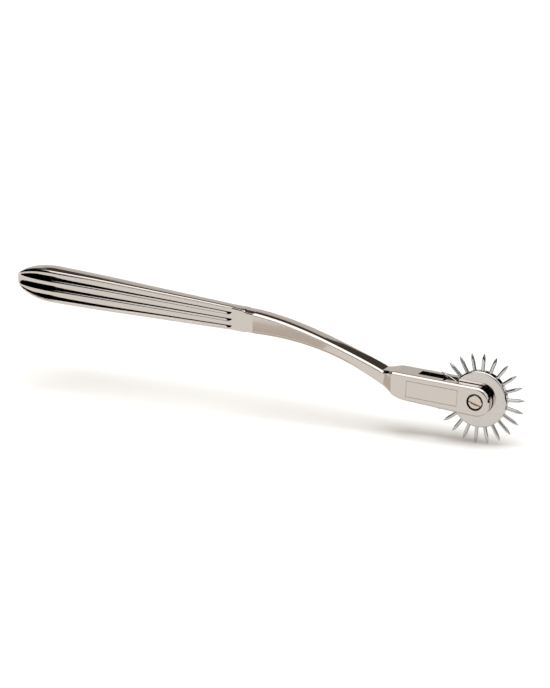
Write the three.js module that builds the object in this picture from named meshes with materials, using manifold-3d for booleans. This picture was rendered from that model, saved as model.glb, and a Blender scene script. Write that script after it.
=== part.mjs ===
import * as THREE from 'three';
import { mergeVertices } from 'three/addons/utils/BufferGeometryUtils.js';
import Module from 'manifold-3d';

const wasm = await Module();
wasm.setup();

// A neurological pinwheel: a drop-forged steel handle with a bent neck, whose end is slotted
// to a fork, and a small wheel of sharp pins that turns in the fork on a slotted screw.
// Millimetres, +Z up. X runs along the handle towards the wheel and Y along the axle.
// The origin is the middle of the grip, on its centre line.

// The wheel and its pins
const AXLE_X = 125;
const AXLE_Z = -19.5;
const TIP_RADIUS = 15;
const PIN_COUNT = 22;
const PIN_RADIUS = 0.575;
const PIN_ROOT = 6.4;
const PIN_TAPER = 2.6;
const PIN_POINT_POWER = 2.1;
const PIN_POINT_STEPS = 4;
const PIN_SIDES = 10;
const FIRST_PIN_ANGLE = 150.88;
const PIN_HOLE_RADIUS = 0.64;
const PIN_HOLE_FLOOR = 6.1;
const PIN_HOLE_SIDES = 12;
const DISC_RADIUS = 9.25;
const DISC_HALF = 1.4;
const DISC_EDGE = 0.35;
const DISC_SIDES = 3 * PIN_COUNT;
const HUB_RADIUS = 3.5;
const HUB_HALF = 1.97;
const BORE_RADIUS = 1.552;

// The fork
const FORK_RADIUS = 4.85;
const FORK_HALF = 4.9;
const FORK_CHAMFER = 0.6;
const FORK_TOP_SLOPE = -0.0624;
const FORK_FOOT_SLOPE = -0.098;
const SLOT_HALF = 2.05;
const SLOT_FLOOR_X = 104.7;
const SLOT_CUTTER = 30;
const COUNTERBORE_RADIUS = 2.75;
const COUNTERBORE_DEPTH = 1.3;
const SHANK_HOLE_RADIUS = 1.6;
const THREAD_HOLE_RADIUS = 1.56;
const CUT_BEYOND = 1;

// The axle screw
const SHANK_RADIUS = 1.5;
const SCREW_HEAD_RADIUS = 2.2;
const SCREW_BELOW_FACE = 0.1;
const SCREW_SEAT_GAP = 0.05;
const SCREW_EDGE = 0.2;
const THREAD_END_EDGE = 0.25;
const DRIVER_SLOT_WIDTH = 1.4;
const DRIVER_SLOT_DEPTH = 0.5;
const DRIVER_SLOT_ANGLE = 18;
const ROUND_SIDES = 32;

// The grip and the neck. Heights are half the upright height of the side, given at a few
// places along X, and thicknesses are half the width along Y.
const BUTT_X = -44.1;
const BUTT_LENGTH = 15;
const GRIP_SLOPE = -0.0622;
const BEND_START = 47;
const BEND_RADIUS = 103.5;
const HEAD_START = 92.8;
const HALF_HEIGHT = [
  [-29, 5.8], [-10, 5.52], [10, 4.92], [29, 4.36], [38, 4.03], [44, 3.75], [49, 3.43], [57, 2.91],
  [65, 2.42], [73, 2.06], [79, 1.96], [85, 2.12], [HEAD_START, 2.5],
];
const GRIP_HALF_THICKNESS = [[-29, 3.76], [-14, 3.25], [10, 2.58], [29, 2.17], [38, 2.05]];
const NECK_HALF_THICKNESS = 3.25;
const RAMP_START = 38.8;
const RAMP_END = 46.8;
const FLARE_END = 96.5;
const CREST_X = 97.5;
const HEEL = [[HEAD_START, -18.5], [96.5, -20.5], [99.2, -21.66], [102, -22.12]];

// The long edges: rounded along the grip, with a short low facet where the neck begins, and
// chamfered along the neck and the fork. A facet's drop is how far it falls for each step out.
const GRIP_ROUNDING = 0.18;
const EDGE_START = 36;
const SMALLEST_EDGE = 0.5;
const FACET_START = 43.3;
const FACET_FULL = 44.1;
const FACET_SIZE = 0.95;
const FACET_DROP = 0.45;
const CHAMFER_FULL = 47.5;
const NECK_CHAMFER = 0.68;
const ROUND_POINT = 1 - Math.SQRT1_2;
const CHAMFER_POINT = 0.5;

// The top and the foot of the grip and the neck are crowned, and the fork's are flat. The
// shares are places across them, from 0 in the middle to 1 where the long edge begins.
const CROWN_RADIUS = 9;
const CROWN_END = 86;
const CROWN_SHARES = [0.3, 0.7];

// Three flutes on each side of the grip, in shares of the half height
const FLUTE_CENTRES = [0.56, 0, -0.57];
const FLUTE_WIDTH = 0.5;
const FLUTE_DEPTH = 0.35;
const FLUTE_STEPS = 4;
const FLUTE_RUN_OUT = 36.2;

// Where the rings of the forging's skin stand: by angle round the butt and the fork's round
// end, and by X between them
const BUTT_ANGLES = [3, 12, 22, 33, 45, 58, 72, 90];
const GRIP_STATIONS = [-18, -6, 7, 20, FLUTE_RUN_OUT, 37, 37.7, 38.3, RAMP_START];
const RAMP_STATIONS = [FACET_START, FACET_FULL, RAMP_END];
const NECK_STATIONS = [CHAMFER_FULL, 52, 57, 62, 67, 72, 77, 82, 87, HEAD_START];
const HEAD_STATIONS = [94, 95.2, FLARE_END, CREST_X, 99.2, 100.5, 102, 114];
const END_ANGLES = [90, 75, 60, 45, 32, 20, 10, 0];

// Points of one piece that lie closer together than this are one point
const SAME_POINT = 1e-5;

// A smooth value at x through a few [x, value] points, level beyond the first and the last
function through(points, x) {
  const last = points.length - 1;
  if (x <= points[0][0]) return points[0][1];
  if (x >= points[last][0]) return points[last][1];
  const i = points.findIndex((point, n) => n < last && x < points[n + 1][0]);
  const slope = (n) => {
    const before = points[Math.max(n - 1, 0)];
    const after = points[Math.min(n + 1, last)];
    return (after[1] - before[1]) / (after[0] - before[0]);
  };
  const span = points[i + 1][0] - points[i][0];
  const t = (x - points[i][0]) / span;
  const ease = t * t * (3 - 2 * t);
  const bend = t * (1 - t) * ((1 - t) * slope(i) - t * slope(i + 1));
  return points[i][1] * (1 - ease) + points[i + 1][1] * ease + bend * span;
}

// Height of the grip's and the neck's centre line, straight and then bent down in an arc
function centreZ(x) {
  const past = Math.max(0, x - BEND_START);
  return GRIP_SLOPE * x - past * past / (2 * BEND_RADIUS);
}

// Height of a line of a given slope that runs into the fork's round end, on one side of it
// (1 for the top and -1 for the foot), with the outline drawn in to a smaller radius
function forkLine(x, side, slope, radius) {
  const lean = Math.hypot(1, slope);
  const touch = AXLE_X - side * radius * slope / lean;
  if (x <= touch) return AXLE_Z + side * radius * lean + slope * (x - AXLE_X);
  return AXLE_Z + side * Math.sqrt(Math.max(0, radius ** 2 - (x - AXLE_X) ** 2));
}

// How far the round butt has swelled at x, from 0 at its end to 1 where the grip is full
function buttSwell(x) {
  const inset = Math.min(1, (x - BUTT_X) / BUTT_LENGTH);
  return Math.sqrt(1 - (1 - inset) ** 2);
}

// Top and foot of the side at x, with the outline drawn in by inset
function sideSpan(x, inset) {
  if (x <= HEAD_START) {
    const half = through(HALF_HEIGHT, x) * buttSwell(x);
    return [centreZ(x) + half - inset, centreZ(x) - half + inset];
  }
  const radius = FORK_RADIUS - inset;
  const neckTop = centreZ(HEAD_START) + through(HALF_HEIGHT, HEAD_START);
  const crest = forkLine(CREST_X, 1, FORK_TOP_SLOPE, FORK_RADIUS);
  const rise = (x - HEAD_START) / (CREST_X - HEAD_START);
  const top = x < CREST_X
    ? neckTop + (crest - neckTop) * rise - inset
    : forkLine(x, 1, FORK_TOP_SLOPE, radius);
  const heelEnd = HEEL[HEEL.length - 1][0];
  const foot = x < heelEnd ? through(HEEL, x) + inset : forkLine(x, -1, FORK_FOOT_SLOPE, radius);
  return [top, foot];
}

// Half the thickness at x: the grip thins from its round butt to a flat ramp, which rises to
// the even neck, and the fork's shoulders flare
function halfThickness(x) {
  const ramp = THREE.MathUtils.clamp((x - RAMP_START) / (RAMP_END - RAMP_START), 0, 1);
  const flare = THREE.MathUtils.clamp((x - HEAD_START) / (FLARE_END - HEAD_START), 0, 1);
  const grip = through(GRIP_HALF_THICKNESS, x) * buttSwell(x);
  const neck = grip + (NECK_HALF_THICKNESS - grip) * ramp;
  return neck + (FORK_HALF - neck) * flare ** 2;
}

// Size of the long edges at x, where the point halfway along the edge lies, and their drop
function edgeAt(x) {
  const { lerp, smoothstep } = THREE.MathUtils;
  const rounding = GRIP_ROUNDING * through(HALF_HEIGHT, x) * buttSwell(x);
  const facet = smoothstep(x, FACET_START, FACET_FULL);
  const chamfer = smoothstep(x, RAMP_END, CHAMFER_FULL);
  const grip = lerp(rounding, SMALLEST_EDGE, smoothstep(x, EDGE_START, FACET_START));
  const neck = lerp(lerp(grip, FACET_SIZE, facet), NECK_CHAMFER, chamfer);
  return {
    size: lerp(neck, FORK_CHAMFER, smoothstep(x, HEAD_START, CREST_X)),
    middle: lerp(ROUND_POINT, CHAMFER_POINT, facet),
    drop: lerp(lerp(1, FACET_DROP, facet), 1, chamfer),
  };
}

// Depth of the flutes at x, at a height given as a share of the half height
function fluteDepth(x, level) {
  const away = Math.min(...FLUTE_CENTRES.map((centre) => Math.abs(level - centre)));
  const lift = Math.max(0, (x - FLUTE_RUN_OUT) / (RAMP_START - FLUTE_RUN_OUT)) ** 2;
  const groove = FLUTE_DEPTH * (1 - lift - (2 * away / FLUTE_WIDTH) ** 2);
  return Math.max(0, groove) * buttSwell(x);
}

// The levels of one side's points, from its top to its foot: both edges of every flute and
// the steps between them
const LEVELS = FLUTE_CENTRES.flatMap((centre) => Array.from(
  { length: FLUTE_STEPS + 1 },
  (_, step) => centre + FLUTE_WIDTH * (0.5 - step / FLUTE_STEPS),
));
const TOP_LEVEL = LEVELS[0];

// One closed ring of points round the forging at x
function forgingRing(x) {
  const edge = edgeAt(x);
  const half = halfThickness(x);
  const room = FORK_RADIUS - Math.max(0, x - AXLE_X);
  const corner = (inset) => {
    const drawnIn = Math.min(inset, room);
    const [top, foot] = sideSpan(x, edge.drop * drawnIn);
    return { top, foot, y: half - edge.size + drawnIn };
  };
  const face = corner(edge.size);
  const middle = corner(edge.middle * edge.size);
  middle.y = Math.min(half - edge.middle * edge.size, face.y);
  const flat = corner(0);
  const crowned = 1 - THREE.MathUtils.smoothstep(x, CROWN_END, HEAD_START);
  const crown = CROWN_SHARES.map((share) => {
    const rise = crowned * flat.y ** 2 * (1 - share ** 2) / (2 * CROWN_RADIUS);
    const [top, foot] = sideSpan(x, -rise);
    return { top, foot, y: share * flat.y };
  });
  const centre = (face.top + face.foot) / 2;
  const reach = (face.top - face.foot) / 2;
  const fluted = x < RAMP_START ? through(HALF_HEIGHT, x) : reach / TOP_LEVEL;
  const side = LEVELS.map((level) => {
    const z = THREE.MathUtils.clamp(level * fluted, -reach, reach);
    const depth = x < RAMP_START ? fluteDepth(x, z / fluted) : 0;
    return [face.y - depth, centre + z];
  });
  const edges = [...crown, flat, middle];
  const points = [
    ...edges.map(({ y, top }) => [y, top]),
    ...side,
    ...edges.reverse().map(({ y, foot }) => [y, foot]),
  ];
  const near = points.map(([y, z]) => new THREE.Vector3(x, -y, z));
  const far = points.map(([y, z]) => new THREE.Vector3(x, y, z)).reverse();
  return [...near, ...far];
}

// The places along X of all the rings, from the butt to the fork's tip
function forgingStations() {
  const cosine = (angle) => Math.cos(THREE.MathUtils.degToRad(angle));
  const butt = BUTT_ANGLES.map((angle) => BUTT_X + BUTT_LENGTH * (1 - cosine(angle)));
  const end = END_ANGLES.map((angle) => AXLE_X + FORK_RADIUS * cosine(angle));
  const between = [...GRIP_STATIONS, ...RAMP_STATIONS, ...NECK_STATIONS, ...HEAD_STATIONS];
  return [...butt, ...between, ...end];
}

// A skin over a row of rings, closed by a fan at the first and drawn to an edge at the last
function skin(rings) {
  const size = rings[0].length;
  const points = rings.flat();
  const middle = rings[0].reduce((sum, point) => sum.add(point), new THREE.Vector3());
  points.push(middle.divideScalar(size));
  const faces = [];
  for (let j = 0; j < size; j++) {
    const next = (j + 1) % size;
    faces.push(points.length - 1, next, j);
    for (let i = 0; i + 1 < rings.length; i++) {
      const here = i * size;
      const there = here + size;
      faces.push(here + j, here + next, there + next, here + j, there + next, there + j);
    }
  }
  const geometry = new THREE.BufferGeometry().setFromPoints(points);
  geometry.setIndex(faces);
  return geometry;
}

// A closed three.js geometry as a solid, without faces that have shrunk to an edge
function solid(geometry) {
  const bare = geometry.clone();
  bare.deleteAttribute('normal');
  bare.deleteAttribute('uv');
  const merged = mergeVertices(bare, SAME_POINT);
  const index = merged.index.array;
  const faces = [];
  for (let i = 0; i < index.length; i += 3) {
    const [a, b, c] = [index[i], index[i + 1], index[i + 2]];
    if (a !== b && b !== c && c !== a) faces.push(a, b, c);
  }
  return new wasm.Manifold(new wasm.Mesh({
    numProp: 3,
    vertProperties: merged.attributes.position.array,
    triVerts: new Uint32Array(faces),
  }));
}

// A solid back as a geometry with flat faces
function geometryOf(body) {
  const mesh = body.getMesh();
  const geometry = new THREE.BufferGeometry();
  geometry.setAttribute('position', new THREE.BufferAttribute(mesh.vertProperties, 3));
  geometry.setIndex(new THREE.BufferAttribute(mesh.triVerts, 1));
  geometry.computeVertexNormals();
  return geometry;
}

// A round cutter along the axle, between two places on Y
function axleCutter(radius, from, to) {
  const cutter = new THREE.CylinderGeometry(radius, radius, to - from, ROUND_SIDES);
  cutter.translate(AXLE_X, (from + to) / 2, AXLE_Z);
  return solid(cutter);
}

// The handle, neck and fork, forged in one piece. The slot is milled through the fork, the
// near cheek is counterbored for the screw's head and the far cheek holds its thread.
function forgingGeometry() {
  const slot = new THREE.BoxGeometry(SLOT_CUTTER, 2 * SLOT_HALF, SLOT_CUTTER);
  slot.translate(SLOT_FLOOR_X + SLOT_CUTTER / 2, 0, AXLE_Z);
  const seat = COUNTERBORE_DEPTH - FORK_HALF;
  const forging = solid(skin(forgingStations().map(forgingRing)))
    .subtract(solid(slot))
    .subtract(axleCutter(COUNTERBORE_RADIUS, -FORK_HALF - CUT_BEYOND, seat))
    .subtract(axleCutter(SHANK_HOLE_RADIUS, seat - CUT_BEYOND, 0))
    .subtract(axleCutter(THREAD_HOLE_RADIUS, 0, FORK_HALF + CUT_BEYOND));
  return geometryOf(forging);
}

// The axle screw: a cheese head with a driver slot, a plain shank and a threaded end
function screwGeometry() {
  const headY = SCREW_BELOW_FACE - FORK_HALF;
  const seatY = COUNTERBORE_DEPTH - FORK_HALF - SCREW_SEAT_GAP;
  const endY = FORK_HALF - SCREW_BELOW_FACE;
  const profile = [
    [0, headY],
    [SCREW_HEAD_RADIUS - SCREW_EDGE, headY],
    [SCREW_HEAD_RADIUS, headY + SCREW_EDGE],
    [SCREW_HEAD_RADIUS, seatY],
    [SHANK_RADIUS, seatY],
    [SHANK_RADIUS, endY - THREAD_END_EDGE],
    [SHANK_RADIUS - THREAD_END_EDGE, endY],
    [0, endY],
  ].map(([radius, y]) => new THREE.Vector2(radius, y));
  const turned = new THREE.LatheGeometry(profile, ROUND_SIDES);
  const driverSlot = new THREE.BoxGeometry(
    4 * SCREW_HEAD_RADIUS, 2 * DRIVER_SLOT_DEPTH, DRIVER_SLOT_WIDTH,
  );
  driverSlot.rotateY(THREE.MathUtils.degToRad(DRIVER_SLOT_ANGLE));
  driverSlot.translate(0, headY, 0);
  return geometryOf(solid(turned).subtract(solid(driverSlot)));
}

// The wheel's disc, turned with a hub on each face and drilled round its rim for the pins
function discGeometry() {
  const rim = DISC_RADIUS - DISC_EDGE;
  const profile = [
    [BORE_RADIUS, -HUB_HALF],
    [HUB_RADIUS, -HUB_HALF],
    [HUB_RADIUS, -DISC_HALF],
    [rim, -DISC_HALF],
    [DISC_RADIUS, DISC_EDGE - DISC_HALF],
    [DISC_RADIUS, DISC_HALF - DISC_EDGE],
    [rim, DISC_HALF],
    [HUB_RADIUS, DISC_HALF],
    [HUB_RADIUS, HUB_HALF],
    [BORE_RADIUS, HUB_HALF],
    [BORE_RADIUS, -HUB_HALF],
  ].map(([radius, y]) => new THREE.Vector2(radius, y));
  let disc = solid(new THREE.LatheGeometry(profile, DISC_SIDES));
  const depth = DISC_RADIUS + CUT_BEYOND - PIN_HOLE_FLOOR;
  for (let k = 0; k < PIN_COUNT; k++) {
    const hole = new THREE.CylinderGeometry(
      PIN_HOLE_RADIUS, PIN_HOLE_RADIUS, depth, PIN_HOLE_SIDES,
    );
    hole.rotateZ(-Math.PI / 2);
    hole.translate(PIN_HOLE_FLOOR + depth / 2, 0, 0);
    hole.rotateY(k * 2 * Math.PI / PIN_COUNT);
    disc = disc.subtract(solid(hole));
  }
  return geometryOf(disc);
}

// One pin, a ground needle that points along +X from the middle of the wheel
function pinGeometry() {
  const profile = [new THREE.Vector2(0, PIN_ROOT), new THREE.Vector2(PIN_RADIUS, PIN_ROOT)];
  for (let step = 0; step <= PIN_POINT_STEPS; step++) {
    const along = step / PIN_POINT_STEPS;
    const radius = PIN_RADIUS * (1 - along ** PIN_POINT_POWER);
    profile.push(new THREE.Vector2(radius, TIP_RADIUS - PIN_TAPER * (1 - along)));
  }
  const pin = new THREE.LatheGeometry(profile, PIN_SIDES);
  pin.rotateZ(-Math.PI / 2);
  return geometryOf(solid(pin));
}

function steel(name, colour, roughness) {
  return new THREE.MeshStandardMaterial({ name, color: colour, roughness, metalness: 1 });
}

function piece(name, geometry, material) {
  const mesh = new THREE.Mesh(geometry, material);
  mesh.name = name;
  return mesh;
}

const forgingSteel = steel('polished_forging', 0xcdc7c0, 0.12);
const screwSteel = steel('screw_steel', 0xd6c4b6, 0.25);
const discSteel = steel('polished_disc', 0xd0cac6, 0.15);
const pinSteel = steel('pin_steel', 0xc4c4c6, 0.18);

const pinwheel = new THREE.Group();
pinwheel.add(piece('handle_forging', forgingGeometry(), forgingSteel));

const screw = piece('axle_screw', screwGeometry(), screwSteel);
screw.position.set(AXLE_X, 0, AXLE_Z);
pinwheel.add(screw);

const wheel = new THREE.Group();
wheel.position.set(AXLE_X, 0, AXLE_Z);
wheel.rotation.y = -THREE.MathUtils.degToRad(FIRST_PIN_ANGLE);
wheel.add(piece('wheel_disc', discGeometry(), discSteel));
for (let k = 0; k < PIN_COUNT; k++) {
  const pin = piece(`pin_${String(k + 1).padStart(2, '0')}`, pinGeometry(), pinSteel);
  pin.rotation.y = k * 2 * Math.PI / PIN_COUNT;
  wheel.add(pin);
}
pinwheel.add(wheel);

export default pinwheel;
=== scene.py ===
import math

import bmesh
import bpy
from mathutils import Matrix, Vector


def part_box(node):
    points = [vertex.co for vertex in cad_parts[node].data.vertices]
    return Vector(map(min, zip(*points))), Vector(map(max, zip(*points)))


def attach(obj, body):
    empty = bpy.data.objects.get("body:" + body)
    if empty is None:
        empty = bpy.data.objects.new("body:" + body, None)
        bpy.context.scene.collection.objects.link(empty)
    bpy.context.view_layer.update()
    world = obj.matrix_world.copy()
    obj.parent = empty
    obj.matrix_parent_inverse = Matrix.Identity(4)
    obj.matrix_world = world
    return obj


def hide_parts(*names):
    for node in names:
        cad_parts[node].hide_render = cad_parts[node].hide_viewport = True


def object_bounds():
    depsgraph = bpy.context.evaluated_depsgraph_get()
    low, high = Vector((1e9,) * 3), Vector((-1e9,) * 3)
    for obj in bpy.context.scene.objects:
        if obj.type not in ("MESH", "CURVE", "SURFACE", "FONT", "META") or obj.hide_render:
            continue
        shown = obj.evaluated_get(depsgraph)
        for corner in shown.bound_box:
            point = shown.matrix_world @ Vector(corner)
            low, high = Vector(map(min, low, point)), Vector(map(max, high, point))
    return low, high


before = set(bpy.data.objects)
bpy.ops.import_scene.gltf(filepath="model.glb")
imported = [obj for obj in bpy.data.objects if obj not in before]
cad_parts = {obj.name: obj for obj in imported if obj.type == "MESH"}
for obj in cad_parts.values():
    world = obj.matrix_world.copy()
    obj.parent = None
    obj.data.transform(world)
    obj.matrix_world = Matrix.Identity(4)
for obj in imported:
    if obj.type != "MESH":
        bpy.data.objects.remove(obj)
cad_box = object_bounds()

# The camera stands in front of the instrument, a little round to its wheel's end and above it,
# and is aimed so that the wheel's middle falls where the photograph has it.
VIEW_AZIMUTH = math.radians(25.02)
VIEW_ELEVATION = math.radians(15.22)
VIEW_DISTANCE = 0.7
FOCAL_PIXELS = 2214.1
PHOTO_SIZE = Vector((550, 688))
WHEEL_PIXEL = Vector((479.88, 398.48))
SENSOR = 36
NEAREST_SEEN = 0.01

disc_low, disc_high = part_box("wheel_disc")
AXLE = (disc_low + disc_high) / 2

rightward = Vector((math.cos(VIEW_AZIMUTH), math.sin(VIEW_AZIMUTH), 0))
level = Vector((-math.sin(VIEW_AZIMUTH), math.cos(VIEW_AZIMUTH), 0))
forward = level * math.cos(VIEW_ELEVATION) - Vector((0, 0, math.sin(VIEW_ELEVATION)))
upward = rightward.cross(forward)
off_centre = (WHEEL_PIXEL - PHOTO_SIZE / 2) / FOCAL_PIXELS * VIEW_DISTANCE

camera_data = bpy.data.cameras.new("camera")
camera_data.sensor_width = SENSOR
camera_data.lens = FOCAL_PIXELS / PHOTO_SIZE.y * SENSOR
camera_data.clip_start = NEAREST_SEEN
camera = bpy.data.objects.new("camera", camera_data)
camera.location = AXLE - forward * VIEW_DISTANCE - rightward * off_centre.x + upward * off_centre.y
camera.rotation_euler = Matrix((rightward, upward, -forward)).transposed().to_euler()
bpy.context.collection.objects.link(camera)
bpy.context.scene.camera = camera


# The handle is one drop forging of steel: a fluted grip with a round butt, a bent neck that
# tapers, and a head that is milled to a fork. It is ground, polished and plated all over.
forging_low, forging_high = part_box("handle_forging")
FORK_HALF = forging_high.y
FORK_RADIUS = forging_high.x - AXLE.x
FORK_CHAMFER = 0.0006
FORK_TOP_SLOPE = -0.0624
FORK_FOOT_SLOPE = -0.098
BUTT_X = -0.0441
BUTT_LENGTH = 0.015
FIRST_BUTT_ANGLE = math.radians(3)
GRIP_SLOPE = -0.0622
BEND_START = 0.047
BEND_RADIUS = 0.1035
RAMP_START = 0.0388
RAMP_END = 0.0468
HEAD_START = 0.0928
FLARE_END = 0.0965
CREST_X = 0.0975
STRAIGHT_START = 0.102
STRAIGHT_END = 0.118
# Along the grip and the neck, as (x, half height), without the crown.
HALF_HEIGHT = [
    (-0.029, 0.0058), (-0.01, 0.00552), (0.01, 0.00492), (0.029, 0.00436), (0.038, 0.00403),
    (0.044, 0.00375), (0.049, 0.00343), (0.057, 0.00291), (0.065, 0.00242), (0.073, 0.00206),
    (0.079, 0.00196), (0.085, 0.00212), (HEAD_START, 0.0025),
]
# Along the grip, as (x, half thickness).
GRIP_HALF_THICKNESS = [
    (-0.029, 0.00376), (-0.014, 0.00325), (0.01, 0.00258), (0.029, 0.00217), (0.038, 0.00205),
]
NECK_HALF_THICKNESS = 0.00325
# The foot of the head, as (x, height), where the neck swells down into the fork.
HEEL = [(HEAD_START, -0.0185), (0.0965, -0.0205), (0.0992, -0.02166), (STRAIGHT_START, -0.02212)]

# The grip's and the neck's top and foot are crowned. The shares place the points across them.
CROWN_RADIUS = 0.009
CROWN_END = 0.086
CROWN_SHARES = (0.3, 0.5, 0.7, 0.88)

# The long edges are rounded along the grip, by a share of its half height. They turn into a
# low facet near the end of its ramp, and are chamfers from there on. Small blends lead from
# each into the top and into the side.
GRIP_ROUNDING = 0.18
EDGE_START = 0.036
SMALLEST_EDGE = 0.0005
FACET_START = 0.0433
FACET_FULL = 0.0441
FACET_SIZE = 0.00095
FACET_DROP = 0.45
CHAMFER_FULL = 0.0475
NECK_CHAMFER = 0.00068
EDGE_STEPS = 7
TOP_BLEND = 0.00015
SIDE_BLEND = 0.0004
BLEND_STEPS = 5

# The flutes' centres and their width are shares of the half height.
FLUTE_CENTRES = (0.56, 0, -0.57)
FLUTE_WIDTH = 0.5
FLUTE_DEPTH = 0.00035
FLUTE_RUN_OUT = 0.0362
FLUTE_STEPS = 12
FLUTE_RIM = 0.0006

# The slot, the counterbore and the holes are milled and bored after the forging.
SLOT_HALF = 0.00205
SLOT_FLOOR_X = 0.1047
COUNTERBORE_RADIUS = 0.00275
COUNTERBORE_DEPTH = 0.0013
SHANK_HOLE_RADIUS = 0.0016
THREAD_HOLE_RADIUS = 0.00156
BEYOND = 0.003
MILLED_EDGE = 0.00008
MILLED_CORNER = math.radians(60)
SHARP_CORNER = math.radians(35)
ROUND_STEPS = 92
SAME_POINT = 1e-7


def through(points, x):
    """A smooth value at x through a few (x, value) points, level beyond both ends."""
    if x <= points[0][0]:
        return points[0][1]
    if x >= points[-1][0]:
        return points[-1][1]
    i = next(n for n in range(len(points)) if x < points[n + 1][0])

    def slope(n):
        before, after = points[max(n - 1, 0)], points[min(n + 1, len(points) - 1)]
        return (after[1] - before[1]) / (after[0] - before[0])

    span = points[i + 1][0] - points[i][0]
    t = (x - points[i][0]) / span
    ease = t * t * (3 - 2 * t)
    bend = t * (1 - t) * ((1 - t) * slope(i) - t * slope(i + 1))
    return points[i][1] * (1 - ease) + points[i + 1][1] * ease + bend * span


def spread(start, end, count):
    """Even steps from start on, which stop one step before end."""
    return [start + (end - start) * step / count for step in range(count)]


def share(x, start, end):
    """How far x is on its way from start to end, from 0 to 1."""
    return min(1, max(0, (x - start) / (end - start)))


def eased(x, start, end):
    """A share that starts and ends gently."""
    t = share(x, start, end)
    return t * t * (3 - 2 * t)


def centre_height(x):
    """Height of the grip's and the neck's middle line at x, straight and then bent down."""
    past = max(0, x - BEND_START)
    return GRIP_SLOPE * x - past * past / (2 * BEND_RADIUS)


def butt_swell(x):
    """The butt is the end of an ellipsoid: its share of the full height and thickness at x."""
    return math.sqrt(1 - (1 - share(x, BUTT_X, BUTT_X + BUTT_LENGTH)) ** 2)


def fork_line(x, side, slope, radius):
    """The fork's straight top (side 1) or foot (side -1), which touches its round end."""
    return AXLE.z + side * radius * math.hypot(1, slope) + slope * (x - AXLE.x)


def outline(x, side, inset):
    """Height of the side's top or foot at x, with the outline drawn in by inset."""
    if x <= HEAD_START:
        half = through(HALF_HEIGHT, x) * butt_swell(x)
        return centre_height(x) + side * (half - inset)
    if side < 0:
        if x < STRAIGHT_START:
            return through(HEEL, x) + inset
        return fork_line(x, side, FORK_FOOT_SLOPE, FORK_RADIUS - inset)
    if x < CREST_X:
        start = outline(HEAD_START, side, inset)
        crest = fork_line(CREST_X, side, FORK_TOP_SLOPE, FORK_RADIUS) - inset
        return start + (crest - start) * share(x, HEAD_START, CREST_X)
    return fork_line(x, side, FORK_TOP_SLOPE, FORK_RADIUS - inset)


def half_thickness(x):
    """Half the thickness of the grip, the neck or the fork at x."""
    grip = through(GRIP_HALF_THICKNESS, x) * butt_swell(x)
    neck = grip + (NECK_HALF_THICKNESS - grip) * share(x, RAMP_START, RAMP_END)
    return neck + (FORK_HALF - neck) * share(x, HEAD_START, FLARE_END) ** 2


def edge_at(x):
    """Size of the long edges at x, how far they have gone from round to flat, and their drop."""
    rounding = GRIP_ROUNDING * through(HALF_HEIGHT, x) * butt_swell(x)
    grip = rounding + (SMALLEST_EDGE - rounding) * eased(x, EDGE_START, FACET_START)
    facet = eased(x, FACET_START, FACET_FULL)
    chamfer = eased(x, RAMP_END, CHAMFER_FULL)
    ramp = grip + (FACET_SIZE - grip) * facet
    neck = ramp + (NECK_CHAMFER - ramp) * chamfer
    size = neck + (FORK_CHAMFER - neck) * eased(x, HEAD_START, CREST_X)
    return size, facet, 1 - (1 - FACET_DROP) * facet * (1 - chamfer)


def flute_depth(x, height, reach):
    """Depth of the flutes at a height above the grip's centre line. They fade at the butt's rim."""
    level = height / through(HALF_HEIGHT, x)
    away = min(abs(level - centre) for centre in FLUTE_CENTRES)
    lift = max(0, (x - FLUTE_RUN_OUT) / (RAMP_START - FLUTE_RUN_OUT)) ** 2
    groove = FLUTE_DEPTH * (1 - lift - (2 * away / FLUTE_WIDTH) ** 2)
    rim = eased(reach - abs(height), 0, FLUTE_RIM)
    swell = butt_swell(x)
    return max(0, groove) * swell * (rim + (1 - rim) * swell ** 4)


def flute_levels():
    """Places down one side, from 1 at its top to -1 at its foot, close together in the flutes."""
    top = FLUTE_CENTRES[0] + FLUTE_WIDTH / 2
    steps = [0.5 - step / FLUTE_STEPS for step in range(FLUTE_STEPS + 1)]
    return [(centre + FLUTE_WIDTH * step) / top for centre in FLUTE_CENTRES for step in steps]


LEVELS = flute_levels()


def edge_section(half, edges, crown):
    """Half of the top in section, as points (y, inset) from its middle and over its long edge,
    and the inset at which the side starts. edges are what edge_at gives, and crown is how much
    of its crowned shape, from 0 to 1, the top has."""
    edge, flatness, drop = edges
    top_blend = min(TOP_BLEND, edge / 4)
    side_blend = min(TOP_BLEND + (SIDE_BLEND - TOP_BLEND) * flatness, edge / 2)
    flat = half - edge - top_blend
    lean = math.atan(crown * flat / CROWN_RADIUS)
    section = []
    for part in (*CROWN_SHARES, 1):
        section.append((flat * part, -crown * flat ** 2 * (1 - part ** 2) / (2 * CROWN_RADIUS)))

    first_turn = top_blend / edge / 2
    last_turn = 1 - side_blend / edge / 2
    for turn in [*spread(first_turn, last_turn, EDGE_STEPS - 1), last_turn]:
        angle = lean + turn * (math.pi / 2 - lean)
        across = (math.sin(angle) - math.sin(lean)) / (1 - math.sin(lean))
        inward = 1 - math.cos(angle) / math.cos(lean)
        across += (turn - across) * flatness
        inward += (turn - inward) * flatness
        section.append((half - edge + edge * across, edge * drop * inward))

    y_start, inset_start = section[-1]
    edge_end = edge * drop
    side_start = edge_end + side_blend
    for step in range(1, BLEND_STEPS):
        t = step / BLEND_STEPS
        left, gone = (1 - t) ** 2, t * t
        inset = left * inset_start + (1 - left - gone) * edge_end + gone * side_start
        section.append((left * y_start + (1 - left) * half, inset))
    return section, side_start


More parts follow.
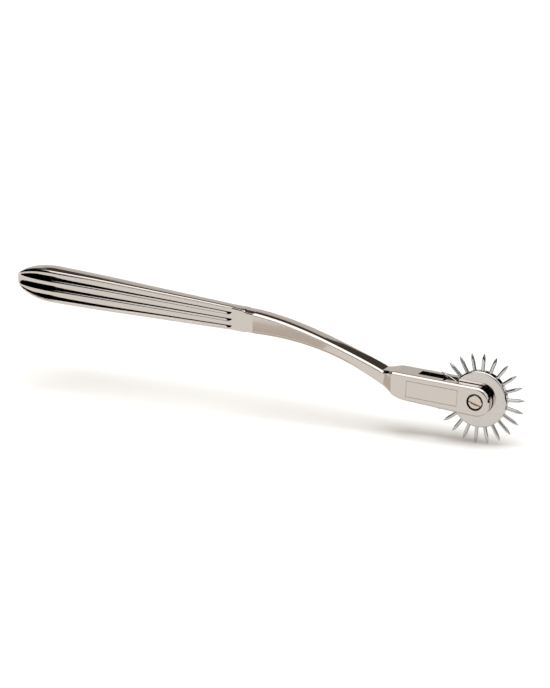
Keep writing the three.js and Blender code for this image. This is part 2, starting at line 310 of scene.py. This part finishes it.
def ring(x, half, edges, crown, place):
    """One closed ring of points. place(side, inset) gives the (x, z) of the top or the foot."""
    section, side_start = edge_section(half, edges, crown)
    near = [(place(1, inset), y) for y, inset in section]
    top, foot = place(1, side_start), place(-1, side_start)
    middle, reach = (top[1] + foot[1]) / 2, (top[1] - foot[1]) / 2
    for level in LEVELS:
        depth = 0
        rise = level * reach
        if x < RAMP_START:
            full = through(HALF_HEIGHT, x) * (FLUTE_CENTRES[0] + FLUTE_WIDTH / 2)
            rise = max(-reach, min(reach, level * full))
            depth = flute_depth(x, rise, reach)
        along = foot[0] + (top[0] - foot[0]) * (rise + reach) / (2 * reach) if reach else top[0]
        near.append(((along, middle + rise), half - depth))
    near += [(place(-1, inset), y) for y, inset in reversed(section)]
    points = [Vector((at[0], -y, at[1])) for at, y in near]
    return points + [Vector((p.x, -p.y, p.z)) for p in reversed(points)]


def side_ring(x):
    """A ring of the grip, the neck or the fork's straight part."""
    crown = 1 - eased(x, CROWN_END, HEAD_START)

    def place(side, inset):
        return x, outline(x, side, inset)

    return ring(x, half_thickness(x), edge_at(x), crown, place)


def end_ring(turned):
    """A ring of the fork's round end, from where its straight sides end to its tip."""
    top = (math.pi / 2 + math.atan(FORK_TOP_SLOPE)) * (1 - turned)
    foot = (-math.pi / 2 + math.atan(FORK_FOOT_SLOPE)) * (1 - turned)

    def place(side, inset):
        angle = top if side > 0 else foot
        radius = FORK_RADIUS - inset
        return AXLE.x + radius * math.cos(angle), AXLE.z + radius * math.sin(angle)

    return ring(AXLE.x, FORK_HALF, (FORK_CHAMFER, 1, 1), 0, place)


# How many rings each stretch has, as (start, end, rings), and the butt and the round end.
STRETCHES = [
    (BUTT_X + BUTT_LENGTH, FLUTE_RUN_OUT, 30),
    (FLUTE_RUN_OUT, RAMP_START, 16),
    (RAMP_START, RAMP_END, 40),
    (RAMP_END, CHAMFER_FULL, 6),
    (CHAMFER_FULL, HEAD_START, 46),
    (HEAD_START, FLARE_END, 10),
    (FLARE_END, STRAIGHT_START, 12),
]
BUTT_RINGS = 34
END_RINGS = 40


def forging_rings():
    """All the rings from the butt to the fork's tip."""
    angles = spread(FIRST_BUTT_ANGLE, math.pi / 2, BUTT_RINGS)
    stations = [BUTT_X + BUTT_LENGTH * (1 - math.cos(angle)) for angle in angles]
    for start, end, rings in STRETCHES:
        stations += spread(start, end, rings)
    stations += [STRAIGHT_START, STRAIGHT_END]
    turns = [*spread(0, 1, END_RINGS), 1]
    return [side_ring(x) for x in stations] + [end_ring(turned) for turned in turns]


def loft(rings):
    """A skin through rings of points, extruded from one ring to the next. The first ring is
    filled, and the last one lies flat, so that its two sides meet in a seam."""
    skin = bmesh.new()
    place = skin.verts.layers.int.new("place")
    first = [skin.verts.new(point) for point in rings[0]]
    for number, vert in enumerate(first):
        vert[place] = number
    edges = [skin.edges.new((vert, first[number - 1])) for number, vert in enumerate(first)]
    skin.faces.new(first)
    for points in rings[1:]:
        grown = bmesh.ops.extrude_edge_only(skin, edges=edges)["geom"]
        verts = [item for item in grown if isinstance(item, bmesh.types.BMVert)]
        edges = [
            item for item in grown
            if isinstance(item, bmesh.types.BMEdge) and set(item.verts) <= set(verts)
        ]
        for vert in verts:
            vert.co = points[vert[place]]
    bmesh.ops.remove_doubles(skin, verts=skin.verts, dist=SAME_POINT)
    bmesh.ops.dissolve_degenerate(skin, edges=skin.edges, dist=SAME_POINT)
    bmesh.ops.recalc_face_normals(skin, faces=skin.faces)
    return skin


def made(name, shape):
    """A bmesh as a linked object that shades smoothly."""
    mesh = bpy.data.meshes.new(name)
    shape.to_mesh(mesh)
    shape.free()
    mesh.shade_smooth()
    thing = bpy.data.objects.new(name, mesh)
    bpy.context.collection.objects.link(thing)
    return thing


def apply_modifiers(thing):
    """Makes the shape that a piece's modifiers give it its own mesh."""
    depsgraph = bpy.context.evaluated_depsgraph_get()
    mesh = bpy.data.meshes.new_from_object(thing.evaluated_get(depsgraph))
    thing.modifiers.clear()
    old = thing.data
    thing.data = mesh
    bpy.data.meshes.remove(old)
    thing.data.name = thing.name


def cut_away(thing, *cutters):
    """Cuts the cutters' shapes out of a piece, one after the other, and removes them."""
    for cutter in cutters:
        cut = thing.modifiers.new("cut", "BOOLEAN")
        cut.operation = "DIFFERENCE"
        cut.solver = "EXACT"
        cut.object = cutter
        apply_modifiers(thing)
        bpy.data.objects.remove(cutter)


def cylinder_along_axle(name, radius, start, end):
    """A round cutter about the axle, from one y to another."""
    rod = bmesh.new()
    bmesh.ops.create_cone(
        rod, cap_ends=True, segments=ROUND_STEPS, radius1=radius, radius2=radius, depth=end - start
    )
    bmesh.ops.rotate(rod, verts=rod.verts, matrix=Matrix.Rotation(math.pi / 2, 3, "X"))
    bmesh.ops.translate(rod, verts=rod.verts, vec=(AXLE.x, (start + end) / 2, AXLE.z))
    return made(name, rod)


def block(name, low, high):
    """A square cutter from one corner to the opposite one."""
    box = bmesh.new()
    bmesh.ops.create_cube(box, size=1)
    bmesh.ops.scale(box, verts=box.verts, vec=high - low)
    bmesh.ops.translate(box, verts=box.verts, vec=(low + high) / 2)
    return made(name, box)


def soften(thing, reached, width):
    """Breaks the right-angled edges of a piece whose two ends are both at places that a test
    says the tool has reached."""
    shape = bmesh.new()
    shape.from_mesh(thing.data)
    bmesh.ops.remove_doubles(shape, verts=shape.verts, dist=10 * SAME_POINT)
    milled = [
        edge for edge in shape.edges
        if len(edge.link_faces) == 2 and edge.calc_face_angle() >= MILLED_CORNER
        and all(reached(vert.co) for vert in edge.verts)
    ]
    bmesh.ops.bevel(
        shape, geom=milled, offset=width, offset_type="OFFSET", affect="EDGES",
        segments=2, profile=0.5, material=-1, clamp_overlap=True,
    )
    shape.to_mesh(thing.data)
    shape.free()
    thing.data.shade_smooth()


def crisp(thing):
    """Keeps real corners sharp and lets large flat faces set the shading of their small edges."""
    thing.data.set_sharp_from_angle(angle=SHARP_CORNER)
    weighted = thing.modifiers.new("weighted", "WEIGHTED_NORMAL")
    weighted.keep_sharp = True
    weighted.weight = 100
    apply_modifiers(thing)


def stand_in(thing, node, body, slot, *finishes):
    """The piece stands for a CAD node, moves with its body and takes its finish."""
    thing.data.materials.clear()
    for finish in finishes:
        thing.data.materials.append(finish)
    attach(thing, body)
    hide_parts(node)


forging = made("polished_handle_forging", loft(forging_rings()))
seat = COUNTERBORE_DEPTH - FORK_HALF
cut_away(
    forging,
    block(
        "slot_cutter",
        Vector((SLOT_FLOOR_X, -SLOT_HALF, AXLE.z - 4 * FORK_RADIUS)),
        Vector((AXLE.x + 2 * FORK_RADIUS, SLOT_HALF, AXLE.z + 4 * FORK_RADIUS)),
    ),
    cylinder_along_axle("counterbore_cutter", COUNTERBORE_RADIUS, -FORK_HALF - BEYOND, seat),
    cylinder_along_axle("shank_hole_cutter", SHANK_HOLE_RADIUS, seat - BEYOND / 2, 0),
    cylinder_along_axle("thread_hole_cutter", THREAD_HOLE_RADIUS, 0, FORK_HALF + BEYOND),
)
soften(forging, lambda at: at.x > SLOT_FLOOR_X - MILLED_EDGE, MILLED_EDGE)
crisp(forging)


def new_steel(name):
    """A metal without a pattern yet: its material, nodes, links, shader and place on the piece."""
    steel = bpy.data.materials.new(name)
    steel.use_nodes = True
    nodes, links = steel.node_tree.nodes, steel.node_tree.links
    shader = nodes["Principled BSDF"]
    shader.inputs["Metallic"].default_value = 1
    place = nodes.new("ShaderNodeTexCoord")
    return steel, nodes, links, shader, place.outputs["Object"]


def mapped(nodes, links, place, setting, value):
    """The place shifted or stretched before a pattern reads it."""
    mapping = nodes.new("ShaderNodeMapping")
    mapping.inputs[setting].default_value = value
    links.new(place, mapping.inputs["Vector"])
    return mapping.outputs["Vector"]


def noise(nodes, links, place, scale, detail):
    """A cloudy pattern from 0 to 1, with a scale in waves a metre."""
    texture = nodes.new("ShaderNodeTexNoise")
    texture.inputs["Scale"].default_value = scale
    texture.inputs["Detail"].default_value = detail
    links.new(place, texture.inputs["Vector"])
    return texture.outputs["Fac"]


def colour_and_gloss(nodes, links, shader, pattern, colour, roughness, darkest, swing):
    """Colours the steel, and lets a pattern darken it and change its gloss a little."""
    tint = nodes.new("ShaderNodeValToRGB")
    tint.color_ramp.elements[0].position = 0.3
    tint.color_ramp.elements[0].color = (*[darkest * value for value in colour], 1)
    tint.color_ramp.elements[1].position = 0.7
    tint.color_ramp.elements[1].color = (*colour, 1)
    links.new(pattern, tint.inputs["Fac"])
    links.new(tint.outputs["Color"], shader.inputs["Base Color"])
    gloss = nodes.new("ShaderNodeMapRange")
    gloss.inputs["To Min"].default_value = (1 - swing) * roughness
    gloss.inputs["To Max"].default_value = (1 + swing) * roughness
    links.new(pattern, gloss.inputs["Value"])
    links.new(gloss.outputs["Result"], shader.inputs["Roughness"])


def relief(nodes, links, pattern, depth, ground=None, sunk=False):
    """A pattern raised by a depth in metres, or sunk by it, on the relief that it lies on."""
    bump = nodes.new("ShaderNodeBump")
    bump.invert = sunk
    bump.inputs["Strength"].default_value = 1
    bump.inputs["Distance"].default_value = depth
    links.new(pattern, bump.inputs["Height"])
    if ground is not None:
        links.new(ground, bump.inputs["Normal"])
    return bump.outputs["Normal"]


def polished_steel(name, colour, roughness, grain, grain_depth, waviness):
    """Plated steel: a mirror finish with the faint lines and long waves that polishing leaves."""
    steel, nodes, links, shader, place = new_steel(name)
    lines = noise(nodes, links, mapped(nodes, links, place, "Scale", grain), scale=1, detail=4)
    waves = noise(nodes, links, place, scale=180, detail=1)
    colour_and_gloss(nodes, links, shader, lines, colour, roughness, darkest=0.95, swing=0.3)
    long_waves = relief(nodes, links, waves, waviness)
    links.new(relief(nodes, links, lines, grain_depth, long_waves), shader.inputs["Normal"])
    return steel


def engrave_frame(steel, middle, width, height, tilt, line, depth):
    """Engraves the outline of a plain rectangle into the near face of a piece of this steel."""
    nodes, links = steel.node_tree.nodes, steel.node_tree.links
    shader = nodes["Principled BSDF"]
    colour, roughness, normal = [
        shader.inputs[name].links[0].from_socket for name in ("Base Color", "Roughness", "Normal")
    ]

    def worked_out(operation, *values):
        """A calculation whose values are numbers or other nodes' outputs."""
        node = nodes.new("ShaderNodeMath")
        node.operation = operation
        for socket, value in zip(node.inputs, values):
            if isinstance(value, bpy.types.NodeSocket):
                links.new(value, socket)
            else:
                socket.default_value = value
        return node.outputs["Value"]

    place = nodes.new("ShaderNodeTexCoord")
    upright = nodes.new("ShaderNodeMapping")
    upright.vector_type = "TEXTURE"
    upright.inputs["Location"].default_value = middle
    upright.inputs["Rotation"].default_value = (0, tilt, 0)
    links.new(place.outputs["Object"], upright.inputs["Vector"])
    axes = nodes.new("ShaderNodeSeparateXYZ")
    links.new(upright.outputs["Vector"], axes.inputs["Vector"])
    past_side = worked_out("SUBTRACT", worked_out("ABSOLUTE", axes.outputs["X"]), width / 2)
    past_top = worked_out("SUBTRACT", worked_out("ABSOLUTE", axes.outputs["Z"]), height / 2)
    from_outline = worked_out("ABSOLUTE", worked_out("MAXIMUM", past_side, past_top))
    on_face = worked_out("LESS_THAN", axes.outputs["Y"], FORK_CHAMFER / 2)
    groove = nodes.new("ShaderNodeMapRange")
    groove.inputs["From Min"].default_value = line / 4
    groove.inputs["From Max"].default_value = line / 2
    groove.inputs["To Min"].default_value = 1
    groove.inputs["To Max"].default_value = 0
    links.new(from_outline, groove.inputs["Value"])
    cut = worked_out("MULTIPLY", groove.outputs["Result"], on_face)

    darker = nodes.new("ShaderNodeMix")
    darker.data_type = "RGBA"
    darker.blend_type = "MULTIPLY"
    links.new(cut, darker.inputs["Factor"])
    links.new(colour, darker.inputs["A"])
    darker.inputs["B"].default_value = LINE_SHADE
    links.new(darker.outputs["Result"], shader.inputs["Base Color"])
    rougher = worked_out("MULTIPLY_ADD", cut, LINE_DULLNESS, roughness)
    links.new(rougher, shader.inputs["Roughness"])
    links.new(relief(nodes, links, cut, depth, normal, sunk=True), shader.inputs["Normal"])


FORGING_COLOUR = (0.645, 0.59, 0.55)
LONG_GRAIN = (300, 9000, 9000)
EVEN_GRAIN = (9000, 9000, 9000)
LINE_SHADE = (0.6, 0.57, 0.55, 1)
LINE_DULLNESS = 0.25
forging_steel = polished_steel(
    "polished_forging_steel", FORGING_COLOUR, roughness=0.07, grain=LONG_GRAIN,
    grain_depth=1e-7, waviness=4e-7,
)
engrave_frame(
    forging_steel, middle=(0.1104, -FORK_HALF, -0.0184), width=0.0173, height=0.00525,
    tilt=-FORK_TOP_SLOPE, line=0.00022, depth=0.00003,
)

# The counterbore and the holes are left as they were bored and dull, and their steel is painted
# near-black: painted shade in these recesses.
BORE_PAINTED_SHADE = (0.09, 0.08, 0.07)
FACE_GAP = 0.00002
bore_painted_shade_steel = polished_steel(
    "dull_bore_painted_shade", BORE_PAINTED_SHADE, roughness=0.45, grain=EVEN_GRAIN, grain_depth=1e-6,
    waviness=1e-7,
)
stand_in(forging, "handle_forging", "handle", "forging_steel", forging_steel, bore_painted_shade_steel)
# The faces inside the counterbore and the holes take the steel with the painted shade.
for face in forging.data.polygons:
    from_axle = face.center - AXLE
    inside_cheek = SLOT_HALF < abs(from_axle.y) < FORK_HALF - FACE_GAP
    if inside_cheek and math.hypot(from_axle.x, from_axle.z) < COUNTERBORE_RADIUS + FACE_GAP:
        face.material_index = 1


# The axle screw is turned from steel bar, with a cheese head that is slotted for a driver.
# It goes in through the near cheek, carries the wheel, and screws into the far cheek.
SHANK_RADIUS = 0.0015
SCREW_HEAD_RADIUS = 0.0022
SCREW_BELOW_FACE = 0.0001
SCREW_SEAT_GAP = 0.00005
SCREW_EDGE = 0.0002
THREAD_END_EDGE = 0.00025
DRIVER_SLOT_WIDTH = 0.0014
DRIVER_SLOT_DEPTH = 0.0005
DRIVER_SLOT_ANGLE = math.radians(18)
SAWN_EDGE = 0.00005
SAWN_FLOOR = 0.0001
# How far apart a wave pattern's rings are at a scale of 1.
RING_PITCH_AT_ONE = 0.314


def turned(profile, axis, centre, steps=ROUND_STEPS):
    """A piece turned on a lathe, from a profile of points that starts and ends on its axis."""
    shape = bmesh.new()
    verts = [shape.verts.new(point) for point in profile]
    edges = [shape.edges.new(pair) for pair in zip(verts, verts[1:])]
    bmesh.ops.spin(
        shape, geom=verts + edges, cent=centre, axis=axis, angle=2 * math.pi, steps=steps,
        use_merge=True,
    )
    bmesh.ops.remove_doubles(shape, verts=shape.verts, dist=SAME_POINT)
    bmesh.ops.recalc_face_normals(shape, faces=shape.faces)
    return shape


def rounded(points, radius, steps=3):
    """A profile whose corners, apart from its two ends, are rounded off with small curves."""
    smooth = [points[0]]
    for before, corner, after in zip(points, points[1:], points[2:]):
        into, out = corner - before, after - corner
        size = min(radius, into.length / 3, out.length / 3)
        start, end = corner - into.normalized() * size, corner + out.normalized() * size
        for step in range(steps + 1):
            t = step / steps
            smooth.append((1 - t) ** 2 * start + 2 * t * (1 - t) * corner + t * t * end)
    return [*smooth, points[-1]]


def turned_on_axle(name, profile, edge, steps=ROUND_STEPS):
    """A piece turned about the axle, from a profile of (radius, y) whose edges are rounded."""
    points = [AXLE + Vector((radius, y, 0)) for radius, y in profile]
    return made(name, turned(rounded(points, edge), (0, 1, 0), AXLE, steps))


head_y = SCREW_BELOW_FACE - FORK_HALF
seat_y = seat - SCREW_SEAT_GAP
end_y = FORK_HALF - SCREW_BELOW_FACE
screw_profile = [
    (0, head_y),
    (SCREW_HEAD_RADIUS, head_y),
    (SCREW_HEAD_RADIUS, seat_y),
    (SHANK_RADIUS, seat_y),
    (SHANK_RADIUS, end_y - THREAD_END_EDGE),
    (SHANK_RADIUS - THREAD_END_EDGE, end_y),
    (0, end_y),
]
screw = turned_on_axle("turned_axle_screw", screw_profile, SCREW_EDGE)
driver_slot = block(
    "driver_slot_cutter",
    Vector((-2 * SCREW_HEAD_RADIUS, -DRIVER_SLOT_DEPTH, -DRIVER_SLOT_WIDTH / 2)),
    Vector((2 * SCREW_HEAD_RADIUS, DRIVER_SLOT_DEPTH, DRIVER_SLOT_WIDTH / 2)),
)
driver_slot.data.transform(Matrix.Rotation(DRIVER_SLOT_ANGLE, 4, "Y"))
driver_slot.data.transform(Matrix.Translation(Vector((AXLE.x, head_y, AXLE.z))))
cut_away(screw, driver_slot)
soften(screw, lambda at: at.y < head_y + DRIVER_SLOT_DEPTH - SAWN_FLOOR, SAWN_EDGE)
crisp(screw)


def ringed_steel(name, colour, roughness, ring_pitch, ring_depth):
    """Steel from the lathe: fine rings about the axle, with a soft shine."""
    steel, nodes, links, shader, place = new_steel(name)
    centred = mapped(nodes, links, place, "Location", -AXLE)
    rings = nodes.new("ShaderNodeTexWave")
    rings.wave_type = "RINGS"
    rings.rings_direction = "Y"
    rings.inputs["Scale"].default_value = RING_PITCH_AT_ONE / ring_pitch
    rings.inputs["Distortion"].default_value = 1.5
    rings.inputs["Detail"].default_value = 2
    links.new(centred, rings.inputs["Vector"])
    blotches = noise(nodes, links, centred, scale=900, detail=3)
    colour_and_gloss(nodes, links, shader, blotches, colour, roughness, darkest=0.93, swing=0.25)
    links.new(relief(nodes, links, rings.outputs["Fac"], ring_depth), shader.inputs["Normal"])
    return steel


SCREW_COLOUR = (0.70, 0.60, 0.53)
screw_steel = ringed_steel(
    "turned_screw_steel", SCREW_COLOUR, roughness=0.16, ring_pitch=0.0002, ring_depth=3e-7
)
stand_in(screw, "axle_screw", "handle", "screw_steel", screw_steel)


# The wheel's disc is turned from steel and plated. It has a hub on each face that keeps it
# clear of the fork's cheeks, and a hole in its rim for each pin.
PIN_COUNT = 22
FIRST_PIN_ANGLE = math.radians(150.88)
DISC_RADIUS = 0.00925
DISC_HALF = 0.0014
DISC_EDGE = 0.00035
DISC_ROUNDING = 0.00015
DISC_STEPS = 132
HUB_RADIUS = 0.0035
HUB_HALF = disc_high.y
BORE_RADIUS = 0.001552
PIN_HOLE_RADIUS = 0.00062
PIN_HOLE_FLOOR = 0.0061
PIN_HOLE_STEPS = 24

rim = DISC_RADIUS - DISC_EDGE
disc_profile = [
    (BORE_RADIUS, 0),
    (BORE_RADIUS, -HUB_HALF),
    (HUB_RADIUS, -HUB_HALF),
    (HUB_RADIUS, -DISC_HALF),
    (rim, -DISC_HALF),
    (DISC_RADIUS, DISC_EDGE - DISC_HALF),
    (DISC_RADIUS, DISC_HALF - DISC_EDGE),
    (rim, DISC_HALF),
    (HUB_RADIUS, DISC_HALF),
    (HUB_RADIUS, HUB_HALF),
    (BORE_RADIUS, HUB_HALF),
    (BORE_RADIUS, 0),
]
disc = turned_on_axle("turned_wheel_disc", disc_profile, DISC_ROUNDING, DISC_STEPS)


def along_pin(number):
    """Takes a shape that points along +X from the origin to the place of a pin in the wheel."""
    angle = number * 2 * math.pi / PIN_COUNT - FIRST_PIN_ANGLE
    return Matrix.Translation(AXLE) @ Matrix.Rotation(angle, 4, "Y")


holes = bmesh.new()
hole_depth = DISC_RADIUS + BEYOND - PIN_HOLE_FLOOR
for number in range(PIN_COUNT):
    at = along_pin(number) @ Matrix.Translation((PIN_HOLE_FLOOR + hole_depth / 2, 0, 0))
    bmesh.ops.create_cone(
        holes, cap_ends=True, segments=PIN_HOLE_STEPS, radius1=PIN_HOLE_RADIUS,
        radius2=PIN_HOLE_RADIUS, depth=hole_depth, matrix=at @ Matrix.Rotation(math.pi / 2, 4, "Y"),
    )
cut_away(disc, made("pin_hole_cutters", holes))
crisp(disc)

DISC_COLOUR = (0.64, 0.60, 0.575)
disc_steel = ringed_steel(
    "turned_disc_steel", DISC_COLOUR, roughness=0.09, ring_pitch=0.0004, ring_depth=1e-7
)
stand_in(disc, "wheel_disc", "wheel", "disc_steel", disc_steel)


# The pins are steel needles, ground to a long point, polished, and pressed into the rim.
# The wheel has one every sixteen degrees or so, and each can prick by itself.
PIN_RADIUS = 0.000575
PIN_ROOT = 0.0064
PIN_TIP = 0.015
PIN_TAPER = 0.0026
PIN_STEPS = 32
PIN_POINT_STEPS = 14
PIN_POINT_POWER = 2.1


def pin_shape():
    """A pin along +X, whose point narrows slowly at first and then faster."""
    shoulder = PIN_TIP - PIN_TAPER
    profile = [Vector((PIN_ROOT, 0, 0)), Vector((PIN_ROOT, PIN_RADIUS, 0))]
    for step in range(PIN_POINT_STEPS + 1):
        along = step / PIN_POINT_STEPS
        radius = PIN_RADIUS * (1 - along ** PIN_POINT_POWER)
        profile.append(Vector((shoulder + PIN_TAPER * along, radius, 0)))
    return turned(profile, (1, 0, 0), (0, 0, 0), PIN_STEPS)


PIN_COLOUR = (0.58, 0.57, 0.565)
pin_steel = polished_steel(
    "ground_pin_steel", PIN_COLOUR, roughness=0.06, grain=EVEN_GRAIN, grain_depth=1e-7,
    waviness=1e-7,
)
for number in range(PIN_COUNT):
    shape = pin_shape()
    bmesh.ops.transform(shape, matrix=along_pin(number), verts=shape.verts)
    pin = made(f"ground_pin_{number + 1:02d}", shape)
    crisp(pin)
    stand_in(pin, f"pin_{number + 1:02d}", "wheel", "pin_steel", pin_steel)


# The table is a white sheet that the wheel's lowest pins almost touch. It, the cards round it
# and the light aren't part of the instrument.
TABLE_SIZE = 8
TABLE_GAP = 0.0001
WHITE = (1, 1, 1, 1)
WHITE_IN_METAL = (0.87, 0.87, 0.87, 1)
table_z = cad_box[0].z - TABLE_GAP

sheet_shape = bmesh.new()
bmesh.ops.create_grid(sheet_shape, x_segments=1, y_segments=1, size=TABLE_SIZE / 2)
bmesh.ops.translate(sheet_shape, verts=sheet_shape.verts, vec=(0, 0, table_z))
table = made("white_table", sheet_shape)
white = bpy.data.materials.new("white_sheet")
white.use_nodes = True
sheet_shader = white.node_tree.nodes["Principled BSDF"]
sheet_shader.inputs["Roughness"].default_value = 1
sheet_shader.inputs["Specular IOR Level"].default_value = 0
sheet_rays = white.node_tree.nodes.new("ShaderNodeLightPath")
sheet_tone = white.node_tree.nodes.new("ShaderNodeMix")
sheet_tone.data_type = "RGBA"
sheet_tone.inputs["A"].default_value = WHITE
sheet_tone.inputs["B"].default_value = WHITE_IN_METAL
white.node_tree.links.new(sheet_rays.outputs["Is Glossy Ray"], sheet_tone.inputs["Factor"])
white.node_tree.links.new(sheet_tone.outputs["Result"], sheet_shader.inputs["Base Color"])
table.data.materials.append(white)


def emitting(name, shade, strength=1):
    """The plain tone of a studio card."""
    light = bpy.data.materials.new(name)
    light.use_nodes = True
    light.node_tree.nodes.clear()
    glow = light.node_tree.nodes.new("ShaderNodeEmission")
    glow.inputs["Color"].default_value = (*shade, 1)
    glow.inputs["Strength"].default_value = strength
    out = light.node_tree.nodes.new("ShaderNodeOutputMaterial")
    light.node_tree.links.new(glow.outputs["Emission"], out.inputs["Surface"])
    return light


STUDIO_CENTRE = Vector((0.05, 0, 0))
STUDIO_RADIUS = 1
CARD_STEPS = 24


def seen_in_metal_only(name, shape, material):
    """Puts up a studio card that shows in polished metal, and lights or shades nothing else."""
    panel = made(name, shape)
    panel.data.materials.append(material)
    panel.visible_camera = False
    panel.visible_diffuse = False
    panel.visible_shadow = False
    panel.visible_transmission = False


def curved_card(name, start, end, low, high, material, high_at_end=None, end_at_top=None):
    """A card bent round the instrument. It runs from one bearing to another, between two heights,
    and may slope along its top and at its end. All are angles in degrees. Bearing 0 is straight
    behind the instrument, 90 off its wheel's end and 180 in front of it."""
    slope = 0 if high_at_end is None else high_at_end - high
    lean = 0 if end_at_top is None else end_at_top - end
    shape = bmesh.new()
    bmesh.ops.create_grid(shape, x_segments=CARD_STEPS, y_segments=CARD_STEPS, size=0.5)
    for vert in shape.verts:
        along, up = vert.co.x + 0.5, vert.co.y + 0.5
        turn = math.radians(start + (end + lean * up - start) * along)
        rise = math.radians(low + (high + slope * along - low) * up)
        flat = Vector((math.sin(turn), math.cos(turn), 0)) * math.cos(rise)
        vert.co = STUDIO_CENTRE + STUDIO_RADIUS * (flat + Vector((0, 0, math.sin(rise))))
    seen_in_metal_only(name, shape, material)


def laid_card(name, corners, height, material):
    """A card that lies on the table, with its corners given as (x, y)."""
    shape = bmesh.new()
    shape.faces.new([shape.verts.new((x, y, table_z + height)) for x, y in corners])
    seen_in_metal_only(name, shape, material)


black_card = emitting("black_card", (0, 0, 0), 0)
brown_card = emitting("brown_card", (0.07, 0.058, 0.048))
# The grey card's tone is a painted shadow on the table, as the metal sees it.
painted_shadow_card = emitting("painted_shadow_card", (0.69, 0.63, 0.57))
back_wall = emitting("back_wall", (0.67, 0.64, 0.615))
soft_box = emitting("soft_box", (1, 1, 1), 2)

# What stands behind shows in the top faces, what stands to the right in the fork's round end,
# and what stands in front in the butt and the flutes.
curved_card("back_wall", -80, -11.6, -3, 18, back_wall, high_at_end=43, end_at_top=-3.6)
curved_card("back_card", -80, -3.6, 82, 18, brown_card, high_at_end=43)
curved_card("back_left_card", -110, -80, 45, 82, brown_card)
curved_card("gap_card", -3.6, -10.6, 3, 43, brown_card, end_at_top=-3.6)
curved_card("back_right_card", -3.6, 8, 8, 80, brown_card)
curved_card("right_card", 8, 55, 8, 80, black_card)
curved_card("soft_box", 90, 250, 50, 88, soft_box)
curved_card("far_right_card", 55, 112, -3, 24, black_card)
curved_card("camera_card", 132, 182, -3, 46, black_card)
curved_card("front_card", 182, 202, -3, 9, black_card)
curved_card("front_lamp_card", 192, 202, 13, 24, soft_box)
curved_card("front_left_card", 202, 226, -3, 12, black_card, 45)
curved_card("left_card", 226, 280, -3, 45, black_card)

# The laid cards are just above the table and show in the upright faces.
dark_corners = [(-0.069, -0.072), (-0.18, -0.4), (1, -0.4), (1, -1.5), (-1.5, -1.5), (-1.5, -0.04)]
right_corners = [(0.2, -0.25), (1.5, -0.6), (1.5, 0.8), (0.2, 0.3)]
pin_corners = [(0.15, -0.005), (0.2, -0.015), (0.24, 0.12), (0.15, 0.06)]
front_shadow_corners = [(-0.008, -0.114), (0.03, -0.112), (0.038, -0.074), (-0.008, -0.074)]
neck_shadow_corners = [(0.028, -0.05), (0.064, -0.05), (0.064, 0.016), (0.028, 0.016)]
laid_card("dark_laid_card", dark_corners, height=0.0006, material=black_card)
laid_card("right_laid_card", right_corners, height=0.0006, material=black_card)
laid_card("pin_laid_card", pin_corners, height=0.0004, material=black_card)
# The two grey laid cards are painted shadow on the table, seen only in the metal: one in front of
# the instrument and one under its neck.
laid_card("front_shadow_laid_card", front_shadow_corners, height=0.0003, material=painted_shadow_card)
laid_card("neck_shadow_laid_card", neck_shadow_corners, height=0.0003, material=painted_shadow_card)

# The sun is wide, so that the shadow on the table is soft.
sun_data = bpy.data.lights.new("soft_lamp", "SUN")
sun_data.energy = 2.3
sun_data.color = (0.95, 0.99, 1)
sun_data.angle = math.radians(52)
sun = bpy.data.objects.new("soft_lamp", sun_data)
sun.rotation_euler = (math.radians(12), math.radians(6), 0)
sun.visible_glossy = False
bpy.context.collection.objects.link(sun)

# The camera and the metal see white all round, and the table is lit by a dimmer, warm white.
world = bpy.data.worlds.new("studio")
bpy.context.scene.world = world
world.use_nodes = True
sky_nodes, sky_links = world.node_tree.nodes, world.node_tree.links
sky_nodes.clear()
rays = sky_nodes.new("ShaderNodeLightPath")
background = sky_nodes.new("ShaderNodeBackground")
background.inputs["Color"].default_value = WHITE
surroundings = sky_nodes.new("ShaderNodeBackground")
surroundings.inputs["Color"].default_value = (1, 0.9, 0.8, 1)
surroundings.inputs["Strength"].default_value = 0.46
shown = sky_nodes.new("ShaderNodeMath")
shown.operation = "MAXIMUM"
sky_links.new(rays.outputs["Is Camera Ray"], shown.inputs[0])
sky_links.new(rays.outputs["Is Glossy Ray"], shown.inputs[1])
choose = sky_nodes.new("ShaderNodeMixShader")
sky_links.new(shown.outputs["Value"], choose.inputs["Fac"])
sky_links.new(surroundings.outputs["Background"], choose.inputs[1])
sky_links.new(background.outputs["Background"], choose.inputs[2])
sky_out = sky_nodes.new("ShaderNodeOutputWorld")
sky_links.new(choose.outputs["Shader"], sky_out.inputs["Surface"])

bpy.context.scene.view_settings.view_transform = "Standard"
